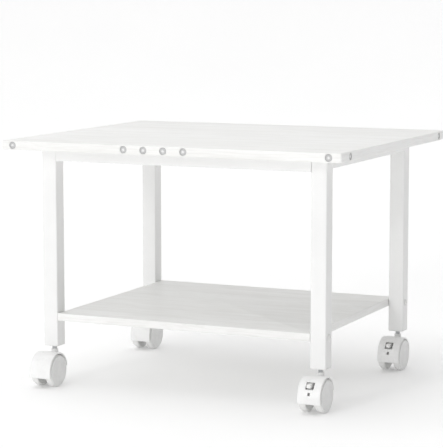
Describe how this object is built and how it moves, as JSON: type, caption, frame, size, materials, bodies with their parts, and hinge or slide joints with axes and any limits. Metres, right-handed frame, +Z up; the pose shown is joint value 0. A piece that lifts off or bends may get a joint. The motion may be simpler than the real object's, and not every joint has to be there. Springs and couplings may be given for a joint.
{
  "type": "mobile printer stand",
  "caption": "Low two-tier rolling stand: a white wood-grain top board on a square-tube leg frame, a lower shelf between the legs and hooded twin-wheel swivel casters.",
  "frame": {"origin": "on the floor, under the middle of the top board", "axes": "+Z up, +X to the right along the long side of the board, front faces -Y"},
  "size_m": [0.56, 0.48, 0.388],
  "materials": {
    "white_board": "white wood-grain laminate, satin",
    "frame_paint": "white powder coat, satin",
    "insert_plastic": "white moulded plastic",
    "edge_screw": "satin grey screw head with a light centre",
    "white_screw": "white painted screw head",
    "zinc_screw": "bright zinc plate",
    "zinc_steel": "zinc plate",
    "hood_plastic": "white moulded nylon, soft gloss",
    "lever_plastic": "white moulded nylon",
    "wheel_plastic": "white nylon tread",
    "disc_plastic": "light grey moulded disc"
  },
  "bodies": {
    "frame": {"back_rail": "frame_paint", "board_screws": "zinc_screw", "caster_stems": "zinc_steel", "edge_screws": "edge_screw", "front_rail": "frame_paint", "left_rail": "frame_paint", "leg_back_left": "frame_paint", "leg_back_right": "frame_paint", "leg_front_left": "frame_paint", "leg_front_right": "frame_paint", "leg_inserts": "insert_plastic", "lower_shelf": "white_board", "right_rail": "frame_paint", "shelf_screws": "white_screw", "stem_snap_rings": "zinc_steel", "top_board": "white_board"},
    "front_left_swivel": {"front_left_hood": "hood_plastic", "front_left_axle": "zinc_steel"},
    "front_left_left_wheel": {"front_left_wheel_left": "wheel_plastic", "front_left_wheel_disc_left": "disc_plastic"},
    "front_left_right_wheel": {"front_left_wheel_right": "wheel_plastic", "front_left_wheel_disc_right": "disc_plastic"},
    "front_right_swivel": {"front_right_hood": "hood_plastic", "front_right_axle": "zinc_steel", "front_right_brake_pin": "zinc_steel"},
    "front_right_left_wheel": {"front_right_wheel_left": "wheel_plastic", "front_right_wheel_disc_left": "disc_plastic"},
    "front_right_right_wheel": {"front_right_wheel_right": "wheel_plastic", "front_right_wheel_disc_right": "disc_plastic"},
    "front_right_brake": {"front_right_brake_lever": "lever_plastic"},
    "back_left_swivel": {"back_left_hood": "hood_plastic", "back_left_axle": "zinc_steel"},
    "back_left_left_wheel": {"back_left_wheel_left": "wheel_plastic", "back_left_wheel_disc_left": "disc_plastic"},
    "back_left_right_wheel": {"back_left_wheel_right": "wheel_plastic", "back_left_wheel_disc_right": "disc_plastic"},
    "back_right_swivel": {"back_right_hood": "hood_plastic", "back_right_axle": "zinc_steel", "back_right_brake_pin": "zinc_steel"},
    "back_right_left_wheel": {"back_right_wheel_left": "wheel_plastic", "back_right_wheel_disc_left": "disc_plastic"},
    "back_right_right_wheel": {"back_right_wheel_right": "wheel_plastic", "back_right_wheel_disc_right": "disc_plastic"},
    "back_right_brake": {"back_right_brake_lever": "lever_plastic"}
  },
  "joints": [
    {"name": "front_left_swivel_turn", "type": "hinge", "parent": "frame", "child": "front_left_swivel", "pos_m": [-0.2255, -0.1765, 0.056], "axis": [0, 0, 1], "continuous": true},
    {"name": "front_left_left_wheel_roll", "type": "hinge", "parent": "front_left_swivel", "child": "front_left_left_wheel", "pos_m": [-0.2255, -0.1965, 0.025], "axis": [1, 0, 0], "continuous": true},
    {"name": "front_left_right_wheel_roll", "type": "hinge", "parent": "front_left_swivel", "child": "front_left_right_wheel", "pos_m": [-0.2255, -0.1965, 0.025], "axis": [1, 0, 0], "continuous": true},
    {"name": "front_right_swivel_turn", "type": "hinge", "parent": "frame", "child": "front_right_swivel", "pos_m": [0.2255, -0.1765, 0.056], "axis": [0, 0, 1], "continuous": true},
    {"name": "front_right_left_wheel_roll", "type": "hinge", "parent": "front_right_swivel", "child": "front_right_left_wheel", "pos_m": [0.2255, -0.1965, 0.025], "axis": [1, 0, 0], "continuous": true},
    {"name": "front_right_right_wheel_roll", "type": "hinge", "parent": "front_right_swivel", "child": "front_right_right_wheel", "pos_m": [0.2255, -0.1965, 0.025], "axis": [1, 0, 0], "continuous": true},
    {"name": "front_right_brake_press", "type": "hinge", "parent": "front_right_swivel", "child": "front_right_brake", "pos_m": [0.2255, -0.2065, 0.0435], "axis": [1, 0, 0], "range_deg": [0, 8]},
    {"name": "back_left_swivel_turn", "type": "hinge", "parent": "frame", "child": "back_left_swivel", "pos_m": [-0.2255, 0.1685, 0.056], "axis": [0, 0, 1], "continuous": true},
    {"name": "back_left_left_wheel_roll", "type": "hinge", "parent": "back_left_swivel", "child": "back_left_left_wheel", "pos_m": [-0.2255, 0.1485, 0.025], "axis": [1, 0, 0], "continuous": true},
    {"name": "back_left_right_wheel_roll", "type": "hinge", "parent": "back_left_swivel", "child": "back_left_right_wheel", "pos_m": [-0.2255, 0.1485, 0.025], "axis": [1, 0, 0], "continuous": true},
    {"name": "back_right_swivel_turn", "type": "hinge", "parent": "frame", "child": "back_right_swivel", "pos_m": [0.2255, 0.1685, 0.056], "axis": [0, 0, 1], "continuous": true},
    {"name": "back_right_left_wheel_roll", "type": "hinge", "parent": "back_right_swivel", "child": "back_right_left_wheel", "pos_m": [0.2255, 0.1485, 0.025], "axis": [1, 0, 0], "continuous": true},
    {"name": "back_right_right_wheel_roll", "type": "hinge", "parent": "back_right_swivel", "child": "back_right_right_wheel", "pos_m": [0.2255, 0.1485, 0.025], "axis": [1, 0, 0], "continuous": true},
    {"name": "back_right_brake_press", "type": "hinge", "parent": "back_right_swivel", "child": "back_right_brake", "pos_m": [0.2255, 0.1385, 0.0435], "axis": [1, 0, 0], "range_deg": [0, 8]}
  ]
}
